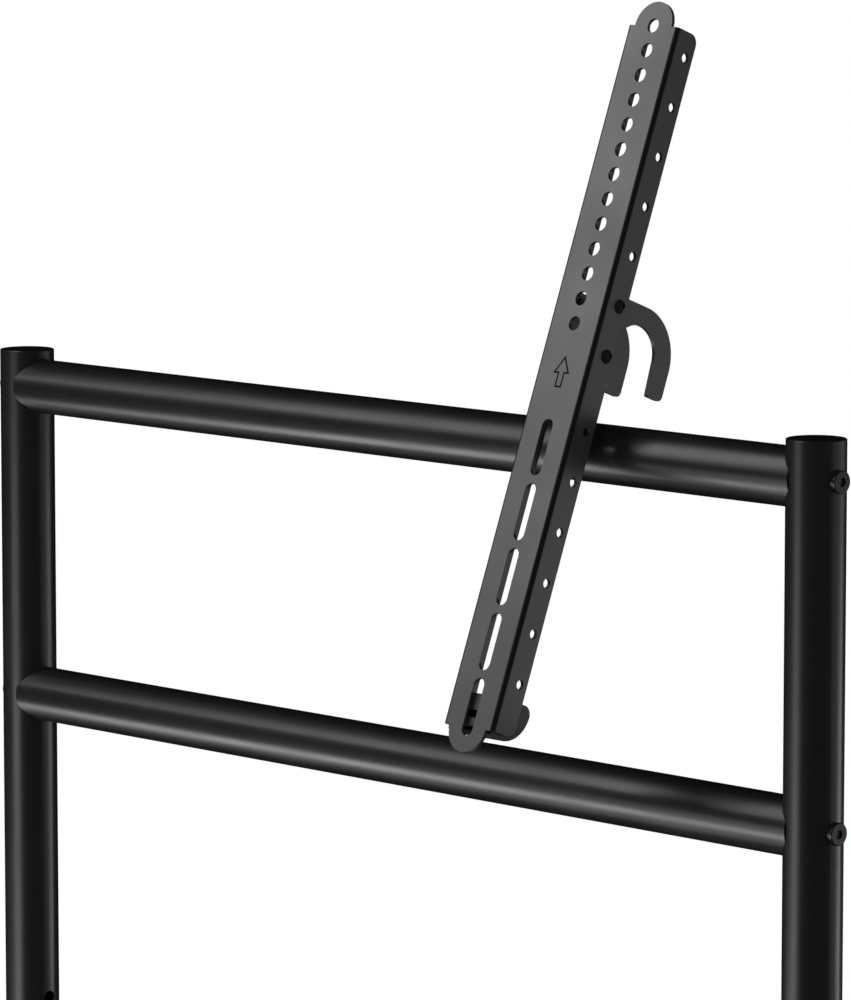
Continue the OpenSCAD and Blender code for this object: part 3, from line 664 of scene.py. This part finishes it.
class STAND_OT_stage(bpy.types.Operator):
    """Set the floor, the lamps, the white surroundings and the camera"""

    bl_idname = "stand.stage"
    bl_label = "Stage"

    def execute(self, context):
        look = context.scene.stand_stage_look
        self.surroundings(look)
        floor = self.floor(look)
        self.flags(look)
        # Name, width and height, power, place
        lamps = (("upper_lamp", (0.9, 2.1), look.upper_power, (-1.28, -1.15, 2.95)),
                 ("lower_lamp", (0.9, 0.68), look.lower_power, (-1.1, -0.85, 0.3)),
                 ("front_strip", (1.0, 1.1), look.front_power, (-0.65, -1.65, 0.68)),
                 ("rear_strip", (1.2, 1.0), look.rear_power, (1.25, 2.25, 0.6)),
                 ("side_lamp", (1.6, 1.4), look.side_power, (2.6, 1.5, 0.9)))
        for name, size, power, place in lamps:
            lamp = add_lamp(name, size, power, place, (0, 0, TOP_BAR[2] - AIM_DROP))
            if name in ("lower_lamp", "front_strip"):
                keep_off(lamp, floor)
        self.camera(look)
        return {"FINISHED"}

    def surroundings(self, look):
        """White where the camera and reflections look, soft light elsewhere."""
        world = bpy.data.worlds.new("studio")
        bpy.context.scene.world = world
        world.use_nodes = True
        tree = world.node_tree
        tree.nodes.clear()
        path = tree.nodes.new("ShaderNodeLightPath")
        soft = tree.nodes.new("ShaderNodeBackground")
        white = tree.nodes.new("ShaderNodeBackground")
        mix = tree.nodes.new("ShaderNodeMixShader")
        out = tree.nodes.new("ShaderNodeOutputWorld")
        soft.inputs["Strength"].default_value = look.soft_light
        for light in (soft, white):
            light.inputs["Color"].default_value = (1, 1, 1, 1)
        seen = calculate(tree, "MAXIMUM", path.outputs["Is Camera Ray"], path.outputs["Is Glossy Ray"])
        seen = calculate(tree, "MAXIMUM", seen, path.outputs["Is Transmission Ray"])
        tree.links.new(seen, mix.inputs[0])
        tree.links.new(soft.outputs[0], mix.inputs[1])
        tree.links.new(white.outputs[0], mix.inputs[2])
        tree.links.new(mix.outputs[0], out.inputs["Surface"])

    def floor(self, look):
        """A flat disc: a rim of radius r at z = 0, turned about the middle. Returns it."""
        turns = np.linspace(0, 2 * np.pi, FLOOR_STEPS, endpoint=False)
        rim = look.floor_radius * np.stack([np.cos(turns), np.sin(turns), 0 * turns], -1)
        mesh = bpy.data.meshes.new("floor")
        mesh.from_pydata(rim.tolist(), [], [list(range(len(rim)))])
        mesh.materials.append(new_material("floor_white", look.floor_color, rough=0.9, level=0.1))
        disc = bpy.data.objects.new("floor", mesh)
        bpy.context.scene.collection.objects.link(disc)
        return disc

    def flags(self, look):
        """Black flags that only reflections see: a drum whose floor is a ring, so that black tube keeps the
        dark edges that it has in a studio. Rings of radius r at height z, turned about the middle."""
        turns = np.linspace(0, 2 * np.pi, FLAG_STEPS, endpoint=False)
        radius = np.array([look.flag_gap, look.flag_radius, look.flag_radius, look.flag_vent])
        height = np.array([look.flag_low, look.flag_low, look.flag_high, look.flag_high])
        verts = np.stack([radius[:, None] * np.cos(turns), radius[:, None] * np.sin(turns),
                          height[:, None] + 0 * turns], -1).reshape(-1, 3)
        mesh = bpy.data.meshes.new("black_flags")
        mesh.from_pydata(verts.tolist(), [], grid_faces(len(radius), len(turns), False, True).tolist())
        mesh.materials.append(new_material("flag_black", (0, 0, 0), rough=1.0, level=0.0))
        flags = bpy.data.objects.new("black_flags", mesh)
        bpy.context.scene.collection.objects.link(flags)
        for way in ("camera", "diffuse", "shadow", "transmission", "volume_scatter"):
            setattr(flags, "visible_" + way, False)

    def camera(self, look):
        """The photograph's camera, placed from the middle of the top bar."""
        data = bpy.data.cameras.new("view")
        data.sensor_width = 36
        data.lens = look.lens
        data.clip_end = 100
        cam = bpy.data.objects.new("view", data)
        bpy.context.scene.collection.objects.link(cam)
        cam.location = Vector(look.view_from) + Vector((0, 0, TOP_BAR[2]))
        cam.rotation_euler = (math.pi / 2 - look.view_pitch, 0, look.view_yaw)
        bpy.context.scene.camera = cam
        bpy.context.scene.view_settings.view_transform = "Standard"


class STAND_PT_panel(bpy.types.Panel):
    """Buttons of the stand"""

    bl_idname = "STAND_PT_panel"
    bl_label = "Rolling display stand"
    bl_space_type = "VIEW_3D"
    bl_region_type = "UI"
    bl_category = "Stand"

    def draw(self, context):
        for step in STEPS:
            self.layout.operator(step.bl_idname)
        for look in (context.scene.stand_frame_look, context.scene.stand_arm_look,
                     context.scene.stand_caster_look, context.scene.stand_stage_look):
            box = self.layout.box()
            for key in look.__annotations__:
                box.prop(look, key)


STEPS = (STAND_OT_tubes, STAND_OT_fasteners, STAND_OT_arm, STAND_OT_arrow, STAND_OT_casters,
         STAND_OT_welds, STAND_OT_wheel_ribs, STAND_OT_pedal_grips, STAND_OT_stage)
LOOKS = (StandFrameLook, StandArmLook, StandCasterLook, StandStageLook)


def register():
    """Makes the settings, buttons and panel known."""
    for cls in LOOKS + STEPS + (STAND_PT_panel,):
        bpy.utils.register_class(cls)
    bpy.types.Scene.stand_frame_look = PointerProperty(type=StandFrameLook)
    bpy.types.Scene.stand_arm_look = PointerProperty(type=StandArmLook)
    bpy.types.Scene.stand_caster_look = PointerProperty(type=StandCasterLook)
    bpy.types.Scene.stand_stage_look = PointerProperty(type=StandStageLook)


def unregister():
    """Takes the settings, buttons and panel away again."""
    del bpy.types.Scene.stand_stage_look
    del bpy.types.Scene.stand_caster_look
    del bpy.types.Scene.stand_arm_look
    del bpy.types.Scene.stand_frame_look
    for cls in reversed(LOOKS + STEPS + (STAND_PT_panel,)):
        bpy.utils.unregister_class(cls)


def main():
    """Runs every step in order."""
    register()
    bpy.ops.stand.tubes()
    bpy.ops.stand.fasteners()
    bpy.ops.stand.arm()
    bpy.ops.stand.arrow()
    bpy.ops.stand.casters()
    bpy.ops.stand.welds()
    bpy.ops.stand.wheel_ribs()
    bpy.ops.stand.pedal_grips()
    bpy.ops.stand.stage()


if __name__ == "__main__":
    main()
